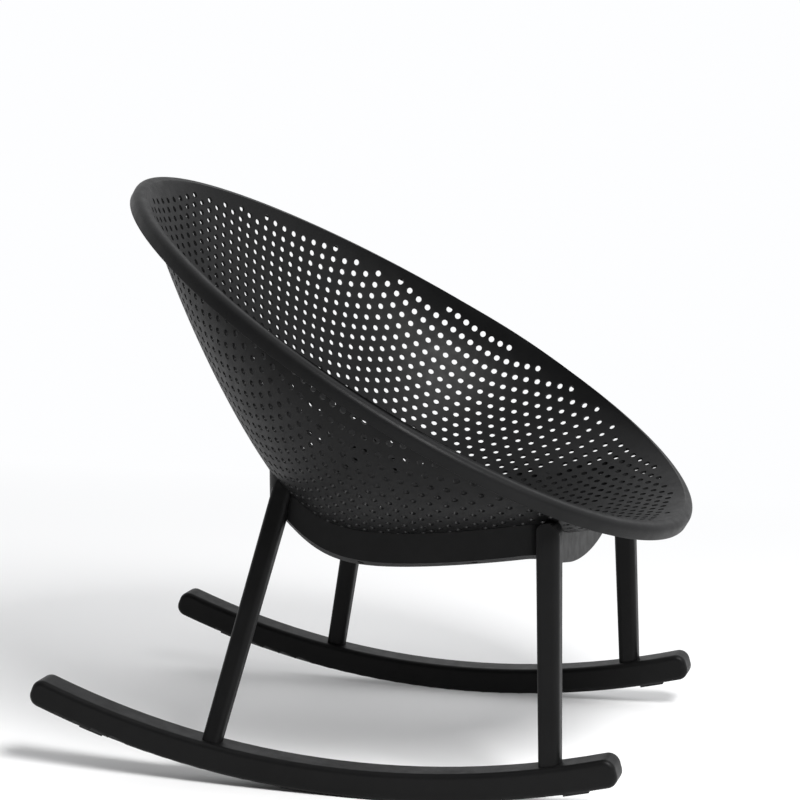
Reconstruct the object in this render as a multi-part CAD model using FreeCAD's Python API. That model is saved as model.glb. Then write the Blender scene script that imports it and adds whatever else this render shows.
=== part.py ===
import FreeCAD, Part
import math
import os

from FreeCAD import Vector

# Moulded rocking chair: a bowl seat on a curved cradle of four rails, four legs and two rockers.
# Millimetres. +X is the front of the chair, +Y its left side, +Z up.
# The origin lies on the floor, in the plane of symmetry, halfway between the rockers' rear ends
# and the front of the bowl's lip.

# Bowl: the rim is an egg-shaped oval in a plane that slopes down to the front
RIM_CENTRE_X = 40.0
RIM_CENTRE_Z = 563.0
RIM_HALF_LENGTH = 434.0
RIM_HALF_WIDTH = 370.0
RIM_TILT = 30.3
EGG_WIDENING = 0.10
WALL = 4.0

# Bowl: guide curves from the middle of the bowl's floor up to the rim, as cubic curves
FLOOR_X = -34.0
FLOOR_Z = 287.0
BACK_FLOOR_RUN = 88.0
BACK_RIM_RUN = 157.0
BACK_RIM_LEAN = 69.0
FRONT_FLOOR_RUN = 55.0
FRONT_RIM_RUN = 120.0
FRONT_RIM_LEAN = 9.0
SIDE_FLOOR_REACH = 190.0
SIDE_RIM_REACH = 390.0
FLOOR_DISC_LEVEL = 0.12
LEVELS = [FLOOR_DISC_LEVEL, 0.3, 0.5, 0.7, 0.85, 1.0, 1.06]
CAVITY_TOP_LEVEL = 1.08
LEVEL_STEP = 0.01
RIM_LEVEL = 1.0
POINTS_ROUND = 16

# Rolled lip: it turns outwards at the rim and hangs down square to the rim's plane
LIP_REACH = 11.0
LIP_DROP = 20.0
LIP_WALL = 3.5
LIP_RADIUS = 9.0

# Cradle: rails that follow the underside of the bowl, with round corners in plan
CRADLE_FRONT_X = 285.0
CRADLE_REAR_X = -118.0
CRADLE_FRONT_HALF_WIDTH = 240.0
CRADLE_REAR_HALF_WIDTH = 190.0
CRADLE_CORNER = 36.0
RAIL_THICKNESS = 20.0
RAIL_HEIGHT = 40.0
FRONT_JOINT_Y = 178.0
REAR_JOINT_Y = 128.0
TENON_LENGTH = 18.0
TENON_THICKNESS = 8.0
TENON_HEIGHT = 16.0
TENON_ROOT = 2.0

# Rockers
ROCKER_RADIUS = 1250.0
ROCKER_CONTACT_X = 48.0
ROCKER_HEIGHT = 38.0
ROCKER_WIDTH = 44.0
ROCKER_Y = 267.0
ROCKER_REAR_X = -427.0
ROCKER_FRONT_X = 388.0
ROCKER_END_RADIUS = 15.0
ROCKER_EDGE_RADIUS = 7.0
ROCKER_SWEEP = 24.0

# Legs: the centre line runs from the foot on the rocker to a point beside the cradle
FRONT_LEG_FOOT_X = 294.0
FRONT_LEG_HEAD_X = 284.0
FRONT_LEG_HEAD_Y = 244.0
REAR_LEG_FOOT_X = -166.0
REAR_LEG_HEAD_X = -91.0
REAR_LEG_HEAD_Y = 190.0
LEG_HEAD_Z = 380.0
FRONT_LEG_TOP_Z = 374.0
REAR_LEG_TOP_Z = 404.0
FRONT_LEG_WIDTH = 31.0
FRONT_LEG_DEPTH = 30.0
REAR_LEG_WIDTH = 29.0
REAR_LEG_DEPTH = 28.0
LEG_TAPER = 0.90
LEG_EDGE_RADIUS = 8.0

# Screws that go up through the rails into bosses under the bowl
SIDE_SCREW_REAR_X = 20.0
SIDE_SCREW_FRONT_X = 180.0
FRONT_SCREW_Y = 90.0
REAR_SCREW_Y = 70.0
BOSS_RADIUS = 6.0
BOSS_DEPTH = 12.0
SHELL_SCREW_RADIUS = 2.0
SHELL_SCREW_HEAD_RADIUS = 4.2
SHELL_SCREW_HEAD_HEIGHT = 3.0
SHELL_SCREW_BITE = 9.0
SHELL_SCREW_RECESS = 12.0

# Screws that pin the tenons of the front and rear rails
RAIL_SCREW_RADIUS = 2.0
RAIL_SCREW_LENGTH = 17.0
RAIL_SCREW_HEAD_RADIUS = 3.8
RAIL_SCREW_HEAD_HEIGHT = 2.6

# Bolts, washers and threaded inserts of the legs
BOLT_RADIUS = 3.0
BOLT_HEAD_RADIUS = 5.0
BOLT_HEAD_HEIGHT = 4.0
WASHER_RADIUS = 6.5
WASHER_THICKNESS = 1.5
INSERT_RADIUS = 4.5
INSERT_LENGTH = 13.0
INSERT_SETBACK = 2.0
WASHER_SEAT_DEPTH = 3.0
LEG_BOLT_HEADROOM = 2.0
LEG_BOLT_LENGTH = 34.0
FOOT_BOLT_DEPTH = 24.0
FOOT_BOLT_LENGTH = 48.0
FOOT_INSERT_SETBACK = 10.0

# Rubber stops let into the undersides of the rockers near their ends
STOP_REAR_X = -336.0
STOP_FRONT_X = 330.0
STOP_LENGTH = 34.0
STOP_WIDTH = 26.0
STOP_DEPTH = 4.0
STOP_PROUD = 3.0

# Clearances
SEAT_GAP = 0.3
FIT_GAP = 0.2
THREAD_GAP = 0.05

SIDES = {"right": -1, "left": 1}
UP = Vector(0, 0, 1)
TALL = 2000.0


def export(shape, node):
    """Write one sub-part to its own STEP file."""
    shape.exportStep(os.path.join("parts", node + ".step"))
    print(node, "solids", len(shape.Solids), "valid", shape.isValid(), "volume", round(shape.Volume))


def mirrored(shape):
    """Return the shape reflected in the chair's plane of symmetry."""
    return shape.mirror(Vector(0, 0, 0), Vector(0, 1, 0))


def cylinder(radius, length, start, direction):
    """Return a cylinder that starts at a point and runs along a direction."""
    return Part.makeCylinder(radius, length, start, direction)


def cubic(start, start_handle, end_handle, end, level):
    """Return the value of a cubic curve at a level between 0 and 1 or a little past it."""
    rest = 1.0 - level
    return (
        start * rest**3
        + start_handle * 3 * rest**2 * level
        + end_handle * 3 * rest * level**2
        + end * level**3
    )


# The bowl

def rim_point(towards_front):
    """Return the rim's foremost point (1) or its rearmost point (-1)."""
    tilt = math.radians(RIM_TILT)
    run = RIM_HALF_LENGTH * towards_front
    return Vector(RIM_CENTRE_X + run * math.cos(tilt), 0, RIM_CENTRE_Z - run * math.sin(tilt))


def back_curve(level):
    """Return a point of the bowl's outer profile behind the floor, in the plane of symmetry."""
    lean = math.radians(BACK_RIM_LEAN)
    floor = Vector(FLOOR_X, 0, FLOOR_Z)
    rim = rim_point(-1)
    floor_handle = floor - Vector(BACK_FLOOR_RUN, 0, 0)
    rim_handle = rim - Vector(-math.cos(lean), 0, math.sin(lean)) * BACK_RIM_RUN
    return cubic(floor, floor_handle, rim_handle, rim, level)


def front_curve(level):
    """Return a point of the bowl's outer profile in front of the floor, in the plane of symmetry."""
    lean = math.radians(FRONT_RIM_LEAN)
    floor = Vector(FLOOR_X, 0, FLOOR_Z)
    rim = rim_point(1)
    floor_handle = floor + Vector(FRONT_FLOOR_RUN, 0, 0)
    rim_handle = rim - Vector(math.cos(lean), 0, math.sin(lean)) * FRONT_RIM_RUN
    return cubic(floor, floor_handle, rim_handle, rim, level)


def guide_point(curve, level, inset):
    """Return a point of a guide curve at a level, moved into the bowl by a distance."""
    here = curve(level)
    along = (curve(level + LEVEL_STEP) - curve(level - LEVEL_STEP)).normalize()
    inward = Vector(-along.z, 0, along.x)
    if inward.z < 0:
        inward = -inward
    return here + inward * inset


def half_width(level, inset):
    """Return half the bowl's width at a level, less a wall measured square to the side."""
    def outer(at_level):
        return cubic(0.0, SIDE_FLOOR_REACH, SIDE_RIM_REACH, RIM_HALF_WIDTH, at_level)

    def middle(at_level):
        return (back_curve(at_level) + front_curve(at_level)) * 0.5

    spread = outer(level + LEVEL_STEP) - outer(level - LEVEL_STEP)
    drift = middle(level + LEVEL_STEP) - middle(level - LEVEL_STEP)
    long_axis = (front_curve(level) - back_curve(level)).normalize()
    rise = (drift - long_axis * drift.dot(long_axis)).Length
    return outer(level) - inset * rise / math.hypot(rise, spread)


def oval_points(level, inset):
    """Return points round the bowl at a level, 0 at the floor and 1 at the rim."""
    back = guide_point(back_curve, level, inset)
    front = guide_point(front_curve, level, inset)
    centre = (back + front) * 0.5
    half_run = (front - back) * 0.5
    width = half_width(level, inset)
    points = []
    for index in range(POINTS_ROUND):
        angle = 2 * math.pi * index / POINTS_ROUND
        widening = 1 + EGG_WIDENING * level * math.cos(angle)
        sideways = Vector(0, width * math.sin(angle) * widening, 0)
        points.append(centre + half_run * math.cos(angle) + sideways)
    return points


def closed_curve(points):
    """Return a smooth closed curve through points, evenly spaced in its parameter."""
    curve = Part.BSplineCurve()
    shares = [index / len(points) for index in range(len(points) + 1)]
    curve.interpolate(Points=points, PeriodicFlag=True, Parameters=shares)
    return curve


def skinned_block(rows, levels):
    """Return the solid inside a smooth skin over closed rows of points, with flat lids."""
    rings = [closed_curve(row) for row in rows]
    ribs = []
    for index in range(rings[0].NbPoles):
        rib = Part.BSplineCurve()
        rib.interpolate(Points=[ring.getPole(index + 1) for ring in rings], Parameters=levels)
        ribs.append(rib)
    skin = Part.BSplineSurface()
    skin.buildFromPolesMultsKnots(
        [[rib.getPole(index + 1) for index in range(rib.NbPoles)] for rib in ribs],
        rings[0].getMultiplicities(),
        ribs[0].getMultiplicities(),
        rings[0].getKnots(),
        ribs[0].getKnots(),
        True,
        False,
        rings[0].Degree,
        ribs[0].Degree,
    )
    side = skin.toShape()
    lids = [Part.Face(Part.Wire([edge])) for edge in side.Edges if edge.isClosed()]
    shell = Part.makeShell([side] + lids)
    shell.sewShape()
    solid = Part.Solid(shell)
    if solid.Volume < 0:
        solid.reverse()
    return solid


def rim_normal():
    """Return the upward normal of the rim's plane."""
    tilt = math.radians(RIM_TILT)
    return Vector(math.sin(tilt), 0, math.cos(tilt))


def bowl_block():
    """Return the bowl as one filled block that reaches a little above the rim."""
    return skinned_block([oval_points(level, 0) for level in LEVELS], LEVELS)


def bowl_cavity():
    """Return the hollow inside the bowl's wall, reaching higher than the block."""
    levels = LEVELS[:-1] + [CAVITY_TOP_LEVEL]
    return skinned_block([oval_points(level, WALL) for level in levels], levels)


def above_rim():
    """Return a large block that covers everything above the rim's plane."""
    slab = Part.makeBox(TALL, TALL, TALL, Vector(-TALL / 2, -TALL / 2, 0))
    slab.rotate(Vector(0, 0, 0), Vector(0, 1, 0), RIM_TILT)
    slab.translate(Vector(RIM_CENTRE_X, 0, RIM_CENTRE_Z))
    return slab


def rim_oval(reach, rise):
    """Return the rim's oval, grown in its own plane and moved along the plane's normal."""
    points = oval_points(RIM_LEVEL, 0)
    grown = []
    for index, point in enumerate(points):
        along = points[(index + 1) % POINTS_ROUND] - points[index - 1]
        outward = along.cross(rim_normal()).normalize()
        grown.append(point + outward * reach + rim_normal() * rise)
    return Part.Wire([closed_curve(grown).toShape()])


def round_topped_tray(reach, top, bottom, radius):
    """Return an oval block over the rim whose upper edge is rounded."""
    tray = Part.makeLoft([rim_oval(reach, top), rim_oval(reach, bottom)], True, True)
    crest = max(tray.Edges, key=lambda edge: edge.CenterOfMass.dot(rim_normal()))
    return tray.makeFillet(radius, [crest])


def rolled_lip():
    """Return the lip: a round-edged tray, upside down on the rim, open below round the bowl."""
    tray = round_topped_tray(LIP_REACH, 0, -LIP_DROP, LIP_RADIUS)
    hollow_bottom = -LIP_DROP - LIP_WALL
    hollow_radius = LIP_RADIUS - LIP_WALL
    hollow = round_topped_tray(LIP_REACH - LIP_WALL, -LIP_WALL, hollow_bottom, hollow_radius)
    return tray.cut(hollow)


def underside_z(block, x, y):
    """Return the height of the bowl's underside above a point of the floor."""
    probe = Part.makeLine(Vector(x, y, 0), Vector(x, y, TALL))
    return min(vertex.Z for vertex in block.common(probe).Vertexes)


def screw_places(block):
    """Return where the bowl is screwed down, on the middle line of each rail."""
    middle = RAIL_THICKNESS / 2
    places = []
    for side in SIDES.values():
        for x in (SIDE_SCREW_REAR_X, SIDE_SCREW_FRONT_X):
            places.append((x, side * (side_face_y(x) - middle)))
        places.append((CRADLE_FRONT_X - middle, side * FRONT_SCREW_Y))
        places.append((CRADLE_REAR_X + middle, side * REAR_SCREW_Y))
    return [Vector(x, y, underside_z(block, x, y)) for x, y in places]


def seat_shell(block, places):
    """Return the bowl with its lip and the bosses that the screws bite into."""
    cavity = bowl_cavity()
    bosses = [
        cylinder(BOSS_RADIUS, BOSS_DEPTH + WALL, place - UP * BOSS_DEPTH, UP) for place in places
    ]
    pilot_radius = SHELL_SCREW_RADIUS + THREAD_GAP
    pilot_depth = SHELL_SCREW_BITE + FIT_GAP
    pilots = [cylinder(pilot_radius, pilot_depth, place - UP * BOSS_DEPTH, UP) for place in places]
    filled = block.cut(above_rim()).fuse([rolled_lip()] + bosses)
    return filled.cut([cavity] + pilots)


# The cradle

def side_face_y(x):
    """Return how far the cradle's side face lies from the plane of symmetry at a place along it."""
    share = (x - CRADLE_REAR_X) / (CRADLE_FRONT_X - CRADLE_REAR_X)
    return CRADLE_REAR_HALF_WIDTH + share * (CRADLE_FRONT_HALF_WIDTH - CRADLE_REAR_HALF_WIDTH)


def cradle_plan(inset):
    """Return the cradle's plan as a filled prism, set in from the outer faces by a distance."""
    corners = [
        Vector(CRADLE_REAR_X, -CRADLE_REAR_HALF_WIDTH, 0),
        Vector(CRADLE_FRONT_X, -CRADLE_FRONT_HALF_WIDTH, 0),
        Vector(CRADLE_FRONT_X, CRADLE_FRONT_HALF_WIDTH, 0),
        Vector(CRADLE_REAR_X, CRADLE_REAR_HALF_WIDTH, 0),
    ]
    face = Part.Face(Part.makePolygon(corners + corners[:1]))
    prism = face.extrude(UP * TALL)
    uprights = [edge for edge in prism.Edges if abs(edge.tangentAt(edge.FirstParameter).z) > 0.9]
    prism = prism.makeFillet(CRADLE_CORNER, uprights)
    if inset == 0:
        return prism
    outline = prism.Faces[0]
    for candidate in prism.Faces:
        if candidate.CenterOfMass.z < 1:
            outline = candidate
    smaller = outline.OuterWire.makeOffset2D(-inset)
    return Part.Face(smaller).extrude(UP * TALL)


def cradle_ring(block):
    """Return the whole cradle: the plan's band between the bowl's underside and a lower copy of it."""
    band = cradle_plan(0).cut(cradle_plan(RAIL_THICKNESS))
    lowered = block.translated(Vector(0, 0, -RAIL_HEIGHT))
    seat = block.translated(Vector(0, 0, -SEAT_GAP))
    return band.common(lowered).cut(seat)


def slab_between(low_x, high_x, low_y, high_y):
    """Return a tall block over a rectangle of the floor."""
    return Part.makeBox(high_x - low_x, high_y - low_y, TALL, Vector(low_x, low_y, 0))


def cross_rail_zone(end, grow):
    """Return the block that the front (1) or rear (-1) rail fills between the side rails' returns."""
    middle_x = (CRADLE_FRONT_X + CRADLE_REAR_X) / 2
    joint_y = FRONT_JOINT_Y + grow if end > 0 else REAR_JOINT_Y + grow
    if end > 0:
        return slab_between(middle_x, TALL, -joint_y, joint_y)
    return slab_between(-TALL, middle_x, -joint_y, joint_y)


def corner_centre(end):
    """Return the centre of the round corner at the front (1) or the rear (-1), on the left side."""
    run = CRADLE_FRONT_X - CRADLE_REAR_X
    slope = (CRADLE_FRONT_HALF_WIDTH - CRADLE_REAR_HALF_WIDTH) / run
    x = CRADLE_FRONT_X - CRADLE_CORNER if end > 0 else CRADLE_REAR_X + CRADLE_CORNER
    y = side_face_y(x) - CRADLE_CORNER * math.hypot(1, slope)
    return Vector(x, y, 0)


def tenon(block, end, grow):
    """Return the tongue at the left end of the front (1) or rear (-1) rail, grown by a clearance."""
    face_x = CRADLE_FRONT_X if end > 0 else CRADLE_REAR_X
    joint_y = FRONT_JOINT_Y if end > 0 else REAR_JOINT_Y
    middle_x = face_x - end * RAIL_THICKNESS / 2
    z = underside_z(block, middle_x, joint_y) - RAIL_HEIGHT / 2
    low = Vector(middle_x - TENON_THICKNESS / 2, joint_y - TENON_ROOT, z - TENON_HEIGHT / 2)
    thickness = TENON_THICKNESS + 2 * grow
    length = TENON_ROOT + TENON_LENGTH + grow
    return Part.makeBox(thickness, length, TENON_HEIGHT + 2 * grow, low - Vector(grow, 0, grow))


def rail_screw_axis(block, end):
    """Return the start and direction of the screw that holds a tenon, at the left side."""
    face_x = CRADLE_FRONT_X if end > 0 else CRADLE_REAR_X
    joint_y = FRONT_JOINT_Y if end > 0 else REAR_JOINT_Y
    middle_x = face_x - end * RAIL_THICKNESS / 2
    z = underside_z(block, middle_x, joint_y) - RAIL_HEIGHT / 2
    start = Vector(face_x - end * RAIL_THICKNESS, joint_y + TENON_LENGTH / 2, z)
    return start, Vector(end, 0, 0)


def rail_screw(block, end, grow):
    """Return one screw through a return and its tenon, or the hole for it."""
    start, direction = rail_screw_axis(block, end)
    head = cylinder(RAIL_SCREW_HEAD_RADIUS + grow, RAIL_SCREW_HEAD_HEIGHT + grow, start, direction)
    shank = cylinder(RAIL_SCREW_RADIUS + grow, RAIL_SCREW_LENGTH + grow, start, direction)
    return head.fuse(shank)


def shell_screw(place, grow):
    """Return one screw that goes up through a rail into a boss, or the hole for it."""
    head_base = place - UP * (RAIL_HEIGHT - SHELL_SCREW_RECESS)
    head = cylinder(SHELL_SCREW_HEAD_RADIUS + grow, SHELL_SCREW_HEAD_HEIGHT + grow, head_base, UP)
    length = RAIL_HEIGHT - SHELL_SCREW_RECESS - BOSS_DEPTH + SHELL_SCREW_BITE
    shank = cylinder(SHELL_SCREW_RADIUS + grow, length, head_base, UP)
    return head.fuse(shank)


def drill_for_shell_screws(rail, places):
    """Return a rail with pockets for the bosses and stepped holes for the screws."""
    for place in places:
        pocket_floor = place - UP * (BOSS_DEPTH + SEAT_GAP)
        pocket = cylinder(BOSS_RADIUS + SEAT_GAP, BOSS_DEPTH + RAIL_HEIGHT, pocket_floor, UP)
        head_base = place - UP * (RAIL_HEIGHT - SHELL_SCREW_RECESS)
        access_radius = SHELL_SCREW_HEAD_RADIUS + FIT_GAP
        access = cylinder(access_radius, RAIL_HEIGHT, head_base, -UP)
        rail = rail.cut(pocket).cut(shell_screw(place, FIT_GAP)).cut(access)
    return rail


def rails(block, places):
    """Return the four rails of the cradle by name."""
    ring = cradle_ring(block)
    ring = drill_for_shell_screws(ring, places)
    for end in (1, -1):
        for tool in (leg_bolt(block, end, FIT_GAP), leg_bolt_access(block, end)):
            ring = ring.cut(tool).cut(mirrored(tool))
    left = ring.common(slab_between(-TALL, TALL, 0, TALL))
    cross_rails = {}
    for name, end in (("front_rail", 1), ("rear_rail", -1)):
        left = left.cut(cross_rail_zone(end, FIT_GAP))
        left = left.cut(tenon(block, end, FIT_GAP)).cut(rail_screw(block, end, FIT_GAP))
        tongue = tenon(block, end, 0)
        hole = rail_screw(block, end, THREAD_GAP)
        rail = ring.common(cross_rail_zone(end, 0)).fuse([tongue, mirrored(tongue)])
        cross_rails[name] = rail.cut([hole, mirrored(hole)])
    return {"side_rail_left": left, "side_rail_right": mirrored(left)} | cross_rails


# The legs

def leg_line(end, z):
    """Return the centre of the left front (1) or left rear (-1) leg at a height."""
    foot_x = FRONT_LEG_FOOT_X if end > 0 else REAR_LEG_FOOT_X
    head_x = FRONT_LEG_HEAD_X if end > 0 else REAR_LEG_HEAD_X
    head_y = FRONT_LEG_HEAD_Y if end > 0 else REAR_LEG_HEAD_Y
    foot_z = rocker_top_z(foot_x)
    share = (z - foot_z) / (LEG_HEAD_Z - foot_z)
    return Vector(foot_x + share * (head_x - foot_x), ROCKER_Y + share * (head_y - ROCKER_Y), z)


def leg_axis(end):
    """Return the upward direction of a left leg."""
    return (leg_line(end, LEG_HEAD_Z) - leg_line(end, 0)).normalize()


def rounded_rectangle(centre, width, depth):
    """Return a horizontal rectangle with rounded corners about a centre."""
    low_x = centre.x - width / 2
    high_x = centre.x + width / 2
    low_y = centre.y - depth / 2
    high_y = centre.y + depth / 2
    corners = [
        Vector(low_x, low_y, centre.z),
        Vector(high_x, low_y, centre.z),
        Vector(high_x, high_y, centre.z),
        Vector(low_x, high_y, centre.z),
    ]
    edges = []
    turn = LEG_EDGE_RADIUS * (1 - math.sqrt(0.5))
    for index in range(4):
        here = corners[index]
        after = corners[(index + 1) % 4]
        along = (after - here).normalize()
        beyond = (corners[(index + 2) % 4] - after).normalize()
        start = here + along * LEG_EDGE_RADIUS
        stop = after - along * LEG_EDGE_RADIUS
        mid = after - along * turn + beyond * turn
        edges.append(Part.makeLine(start, stop))
        edges.append(Part.Arc(stop, mid, after + beyond * LEG_EDGE_RADIUS).toShape())
    return Part.Wire(edges)


def leg(block, end):
    """Return a left leg: tapered, round-topped, notched over the cradle and seated on the rocker."""
    width = FRONT_LEG_WIDTH if end > 0 else REAR_LEG_WIDTH
    depth = FRONT_LEG_DEPTH if end > 0 else REAR_LEG_DEPTH
    top_z = FRONT_LEG_TOP_Z if end > 0 else REAR_LEG_TOP_Z
    foot = rounded_rectangle(leg_line(end, 0), width * LEG_TAPER, depth * LEG_TAPER)
    head = rounded_rectangle(leg_line(end, top_z), width, depth)
    body = Part.makeLoft([foot, head], True)
    top = leg_line(end, top_z)
    crown_radius = width / 2
    crown_centre = Vector(top.x, top.y - depth, top_z - crown_radius)
    crown = cylinder(crown_radius, 2 * depth, crown_centre, Vector(0, 1, 0))
    below = Part.makeBox(TALL, TALL, top_z - crown_radius, Vector(-TALL / 2, 0, 0))
    body = body.common(below.fuse(crown))
    seat = block.translated(Vector(0, 0, -SEAT_GAP))
    over_rail = block.translated(Vector(0, 0, -RAIL_HEIGHT - SEAT_GAP))
    notch = cradle_plan(-FIT_GAP).common(over_rail)
    body = body.cut(seat).cut(notch).cut(rocker_undercut())
    body = body.cut(leg_insert(block, end, THREAD_GAP)).cut(leg_bolt(block, end, FIT_GAP))
    body = body.cut(foot_insert(end, THREAD_GAP)).cut(foot_bolt(end, FIT_GAP))
    return max(body.Solids, key=lambda solid: solid.Volume)


def bolt_direction(end):
    """Return the level direction from a cradle corner's centre towards its leg."""
    to_leg = leg_line(end, LEG_HEAD_Z - RAIL_HEIGHT) - corner_centre(end)
    return Vector(to_leg.x, to_leg.y, 0).normalize()


def washer_seat_reach():
    """Return how far from a corner's centre the flat seat of a leg bolt's washer lies."""
    return CRADLE_CORNER - RAIL_THICKNESS + WASHER_SEAT_DEPTH


def leg_bolt_point(block, end, reach):
    """Return the point of a leg bolt's axis at a distance from the cradle corner's centre."""
    direction = bolt_direction(end)
    head = corner_centre(end) + direction * (washer_seat_reach() - WASHER_THICKNESS - BOLT_HEAD_HEIGHT)
    z = underside_z(block, head.x, head.y) - BOLT_HEAD_RADIUS - LEG_BOLT_HEADROOM
    return corner_centre(end) + direction * reach + UP * z


def leg_bolt(block, end, grow):
    """Return a bolt from inside a cradle corner into the leg, or the hole for it."""
    direction = bolt_direction(end)
    head_reach = washer_seat_reach() - WASHER_THICKNESS - BOLT_HEAD_HEIGHT
    start = leg_bolt_point(block, end, head_reach)
    head = cylinder(BOLT_HEAD_RADIUS + grow, BOLT_HEAD_HEIGHT, start, direction)
    shank = cylinder(BOLT_RADIUS + grow, LEG_BOLT_LENGTH + BOLT_HEAD_HEIGHT + grow, start, direction)
    return head.fuse(shank)


def leg_bolt_access(block, end):
    """Return the cutter of the flat round seat for a leg bolt's washer."""
    start = leg_bolt_point(block, end, -CRADLE_CORNER)
    length = washer_seat_reach() + CRADLE_CORNER
    return cylinder(WASHER_RADIUS + FIT_GAP, length, start, bolt_direction(end))


def leg_washer(block, end):
    """Return the washer under a leg bolt's head."""
    start = leg_bolt_point(block, end, washer_seat_reach() - WASHER_THICKNESS)
    direction = bolt_direction(end)
    disc = cylinder(WASHER_RADIUS, WASHER_THICKNESS, start, direction)
    return disc.cut(cylinder(BOLT_RADIUS + THREAD_GAP, WASHER_THICKNESS, start, direction))


def leg_insert(block, end, grow):
    """Return the threaded insert in the leg that a leg bolt screws into, or the hole for it."""
    start = leg_bolt_point(block, end, CRADLE_CORNER + INSERT_SETBACK)
    direction = bolt_direction(end)
    if grow > 0:
        return cylinder(INSERT_RADIUS + grow, INSERT_LENGTH + grow, start, direction)
    body = cylinder(INSERT_RADIUS, INSERT_LENGTH, start, direction)
    return body.cut(cylinder(BOLT_RADIUS + THREAD_GAP, INSERT_LENGTH, start, direction))


# The rockers

def rocker_bottom_z(x):
    """Return the height of a rocker's running edge at a place along the chair."""
    run = x - ROCKER_CONTACT_X
    return ROCKER_RADIUS - math.sqrt(ROCKER_RADIUS**2 - run**2)


def rocker_top_z(x):
    """Return the height of a rocker's upper face at a place along the chair."""
    run = x - ROCKER_CONTACT_X
    return ROCKER_RADIUS - math.sqrt((ROCKER_RADIUS - ROCKER_HEIGHT) ** 2 - run**2)


def arc_point(radius, angle):
    """Return a point about the rockers' rolling centre, at an angle forward of straight down."""
    return Vector(
        ROCKER_CONTACT_X + radius * math.sin(angle),
        0,
        ROCKER_RADIUS - radius * math.cos(angle),
    )


def arc_band(outer_radius, inner_radius, rear_angle, front_angle, width):
    """Return a curved bar between two radii about the rolling centre, centred on a rocker."""
    middle = (rear_angle + front_angle) / 2
    outer = Part.Arc(
        arc_point(outer_radius, rear_angle),
        arc_point(outer_radius, middle),
        arc_point(outer_radius, front_angle),
    )
    inner = Part.Arc(
        arc_point(inner_radius, front_angle),
        arc_point(inner_radius, middle),
        arc_point(inner_radius, rear_angle),
    )
    edges = [
        outer.toShape(),
        Part.makeLine(arc_point(outer_radius, front_angle), arc_point(inner_radius, front_angle)),
        inner.toShape(),
        Part.makeLine(arc_point(inner_radius, rear_angle), arc_point(outer_radius, rear_angle)),
    ]
    bar = Part.Face(Part.Wire(edges)).extrude(Vector(0, width, 0))
    bar.translate(Vector(0, ROCKER_Y - width / 2, 0))
    return bar


def rocker_blank():
    """Return the left rocker before it is cut for bolts and stops."""
    rear_angle = math.asin((ROCKER_REAR_X - ROCKER_CONTACT_X) / ROCKER_RADIUS)
    front_angle = math.asin((ROCKER_FRONT_X - ROCKER_CONTACT_X) / ROCKER_RADIUS)
    bar = arc_band(ROCKER_RADIUS, ROCKER_RADIUS - ROCKER_HEIGHT, rear_angle, front_angle, ROCKER_WIDTH)
    ends = []
    for edge in bar.Edges:
        along = edge.tangentAt(edge.FirstParameter)
        if abs(along.y) > 0.9:
            ends.append(edge)
    bar = bar.makeFillet(ROCKER_END_RADIUS, ends)
    rims = []
    for edge in bar.Edges:
        along = edge.tangentAt(edge.FirstParameter)
        if abs(along.y) < 0.1:
            rims.append(edge)
    return bar.makeFillet(ROCKER_EDGE_RADIUS, rims)


def stop(place_x, grow):
    """Return a rubber stop let into the left rocker's underside, or its pocket."""
    centre_angle = math.asin((place_x - ROCKER_CONTACT_X) / ROCKER_RADIUS)
    half_angle = (STOP_LENGTH / 2 + grow) / ROCKER_RADIUS
    inner_radius = ROCKER_RADIUS - STOP_DEPTH - grow
    pad = arc_band(
        ROCKER_RADIUS + STOP_PROUD,
        inner_radius,
        centre_angle - half_angle,
        centre_angle + half_angle,
        STOP_WIDTH + 2 * grow,
    )
    return pad


def foot_bolt(end, grow):
    """Return the bolt that goes up through the rocker into a leg's foot, or the hole for it."""
    axis = leg_axis(end)
    foot_x = FRONT_LEG_FOOT_X if end > 0 else REAR_LEG_FOOT_X
    foot = leg_line(end, rocker_top_z(foot_x))
    start = foot - axis * FOOT_BOLT_DEPTH
    head = cylinder(BOLT_HEAD_RADIUS + grow, BOLT_HEAD_HEIGHT + grow, start - axis * grow, axis)
    shank = cylinder(BOLT_RADIUS + grow, FOOT_BOLT_LENGTH, start, axis)
    return head.fuse(shank)


def foot_washer(end, grow):
    """Return the washer over a foot bolt's head, or the wide bore that it lies in."""
    axis = leg_axis(end)
    foot_x = FRONT_LEG_FOOT_X if end > 0 else REAR_LEG_FOOT_X
    start = leg_line(end, rocker_top_z(foot_x)) - axis * (FOOT_BOLT_DEPTH - BOLT_HEAD_HEIGHT)
    if grow > 0:
        length = 2 * ROCKER_HEIGHT
        top = start + axis * WASHER_THICKNESS
        return cylinder(WASHER_RADIUS + grow, length, top - axis * length, axis)
    disc = cylinder(WASHER_RADIUS, WASHER_THICKNESS, start, axis)
    return disc.cut(cylinder(BOLT_RADIUS + THREAD_GAP, WASHER_THICKNESS, start, axis))


def foot_insert(end, grow):
    """Return the threaded insert in a leg's foot, or the hole for it."""
    axis = leg_axis(end)
    foot_x = FRONT_LEG_FOOT_X if end > 0 else REAR_LEG_FOOT_X
    start = leg_line(end, rocker_top_z(foot_x)) + axis * FOOT_INSERT_SETBACK
    if grow > 0:
        return cylinder(INSERT_RADIUS + grow, INSERT_LENGTH + grow, start, axis)
    body = cylinder(INSERT_RADIUS, INSERT_LENGTH, start, axis)
    return body.cut(cylinder(BOLT_RADIUS + THREAD_GAP, INSERT_LENGTH, start, axis))


def rocker_undercut():
    """Return everything at and below a rocker's upper face, where the legs end."""
    inner_radius = ROCKER_RADIUS - ROCKER_HEIGHT - FIT_GAP
    reach = math.radians(ROCKER_SWEEP)
    return arc_band(2 * ROCKER_RADIUS, inner_radius, -reach, reach, 4 * ROCKER_WIDTH)


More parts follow.
